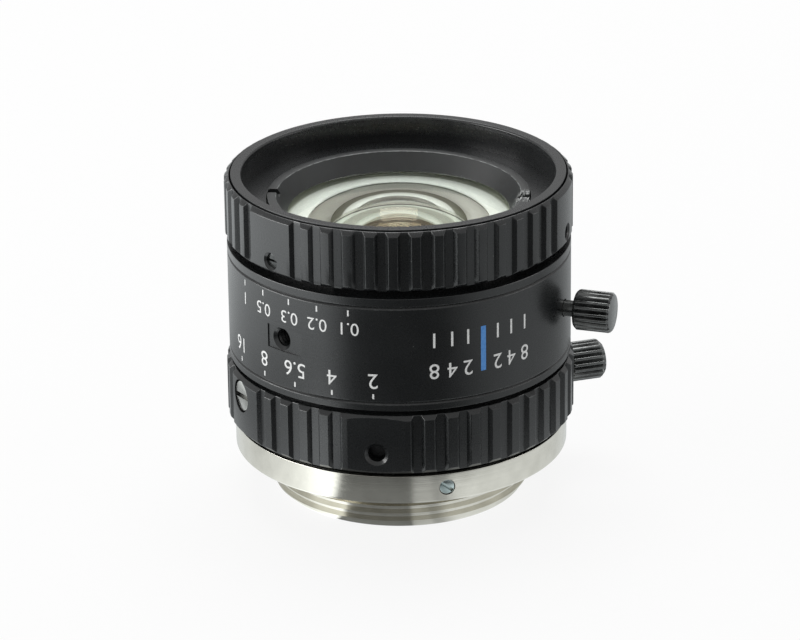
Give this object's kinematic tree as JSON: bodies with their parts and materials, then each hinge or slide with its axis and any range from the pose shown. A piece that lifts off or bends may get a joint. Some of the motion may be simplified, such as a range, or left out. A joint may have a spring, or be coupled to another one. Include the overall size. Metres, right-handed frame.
{
  "type": "machine vision lens",
  "caption": "Compact screw-mount camera lens with ribbed focus and iris rings, thumb screws that lock them, a front filter thread and a bladed iris.",
  "frame": {"origin": "on the optical axis, at the rear end of the mount thread, which the lens stands on", "axes": "+Z along the optical axis towards the subject; -Y is the side with the iris ring's milled facet, +X the side with the two thumb screws"},
  "size_m": [0.0386, 0.0344, 0.0327],
  "materials": {
    "black_anodised": "satin black anodised",
    "nickel_plate": "turned, satin nickel plate",
    "bare_steel": "turned",
    "blackened_steel": "gloss black oxide",
    "brass": "turned",
    "coated_glass": "polished, coated"
  },
  "bodies": {
    "barrel": {"main_barrel": "black_anodised", "mount_ring": "nickel_plate", "guide_pin": "bare_steel", "mount_set_screw_1": "bare_steel", "mount_set_screw_2": "bare_steel", "mount_set_screw_3": "bare_steel"},
    "lens_cell": {"front_barrel": "black_anodised", "front_retaining_ring": "black_anodised", "front_lens": "coated_glass", "second_lens": "coated_glass", "middle_cell": "black_anodised", "third_lens": "coated_glass", "third_lens_retainer": "black_anodised", "helicoid_retainer": "brass", "rear_barrel": "black_anodised", "iris_base": "brass", "doublet_front_lens": "coated_glass", "doublet_rear_lens": "coated_glass", "rear_lens_spacer": "black_anodised", "rear_lens": "coated_glass", "rear_retaining_ring": "black_anodised"},
    "focus": {"focus_ring": "black_anodised", "focus_helicoid": "black_anodised", "focus_ring_set_screw_1": "bare_steel", "focus_ring_set_screw_2": "bare_steel", "focus_ring_set_screw_3": "bare_steel"},
    "iris": {"iris_ring": "black_anodised", "iris_drive_screw": "bare_steel"},
    "focus_lock": {"focus_lock_screw": "blackened_steel"},
    "iris_lock": {"iris_lock_screw": "blackened_steel"},
    "cam": {"iris_cam_ring": "brass"},
    "blade_1": {"iris_blade_1": "blackened_steel"},
    "blade_2": {"iris_blade_2": "blackened_steel"},
    "blade_3": {"iris_blade_3": "blackened_steel"},
    "blade_4": {"iris_blade_4": "blackened_steel"},
    "blade_5": {"iris_blade_5": "blackened_steel"},
    "blade_6": {"iris_blade_6": "blackened_steel"}
  },
  "joints": [
    {"name": "focus_travel", "type": "slide", "parent": "barrel", "child": "lens_cell", "axis": [0, 0, 1], "range_m": [-0.00035, 0.00045]},
    {"name": "focus_turn", "type": "hinge", "parent": "lens_cell", "child": "focus", "pos_m": [0, 0, 0.0296], "axis": [0, 0, 1], "range_deg": [-70, 90]},
    {"name": "iris_turn", "type": "hinge", "parent": "barrel", "child": "iris", "pos_m": [0, 0, 0.0108], "axis": [0, 0, 1], "range_deg": [0, 45]},
    {"name": "cam_turn", "type": "hinge", "parent": "lens_cell", "child": "cam", "pos_m": [0, 0, 0.0114], "axis": [0, 0, 1], "range_deg": [0, 45]},
    {"name": "focus_lock_turn", "type": "hinge", "parent": "barrel", "child": "focus_lock", "pos_m": [0.01721, -0.00559, 0.0201], "axis": [0.9511, -0.309, 0], "range_deg": [0, 360]},
    {"name": "iris_lock_turn", "type": "hinge", "parent": "iris", "child": "iris_lock", "pos_m": [0.01674, 0.00544, 0.0098], "axis": [0.9511, 0.309, 0], "range_deg": [0, 360]},
    {"name": "blade_1_swing", "type": "hinge", "parent": "lens_cell", "child": "blade_1", "pos_m": [-0.00907, -0.00422, 0.0097], "axis": [0, 0, 1], "range_deg": [0, 36]},
    {"name": "blade_2_swing", "type": "hinge", "parent": "lens_cell", "child": "blade_2", "pos_m": [-0.00088, -0.00996, 0.0097], "axis": [0, 0, 1], "range_deg": [0, 36]},
    {"name": "blade_3_swing", "type": "hinge", "parent": "lens_cell", "child": "blade_3", "pos_m": [0.00819, -0.00574, 0.0097], "axis": [0, 0, 1], "range_deg": [0, 36]},
    {"name": "blade_4_swing", "type": "hinge", "parent": "lens_cell", "child": "blade_4", "pos_m": [0.00907, 0.00422, 0.0097], "axis": [0, 0, 1], "range_deg": [0, 36]},
    {"name": "blade_5_swing", "type": "hinge", "parent": "lens_cell", "child": "blade_5", "pos_m": [0.00088, 0.00996, 0.0097], "axis": [0, 0, 1], "range_deg": [0, 36]},
    {"name": "blade_6_swing", "type": "hinge", "parent": "lens_cell", "child": "blade_6", "pos_m": [-0.00819, 0.00574, 0.0097], "axis": [0, 0, 1], "range_deg": [0, 36]}
  ],
  "couplings": [
    {"joint": "focus_turn", "follows": "focus_travel", "rad_per_m": 3490.7},
    {"joint": "cam_turn", "follows": "iris_turn", "ratio": 1},
    {"joint": "blade_1_swing", "follows": "iris_turn", "ratio": 0.8},
    {"joint": "blade_2_swing", "follows": "iris_turn", "ratio": 0.8},
    {"joint": "blade_3_swing", "follows": "iris_turn", "ratio": 0.8},
    {"joint": "blade_4_swing", "follows": "iris_turn", "ratio": 0.8},
    {"joint": "blade_5_swing", "follows": "iris_turn", "ratio": 0.8},
    {"joint": "blade_6_swing", "follows": "iris_turn", "ratio": 0.8}
  ]
}
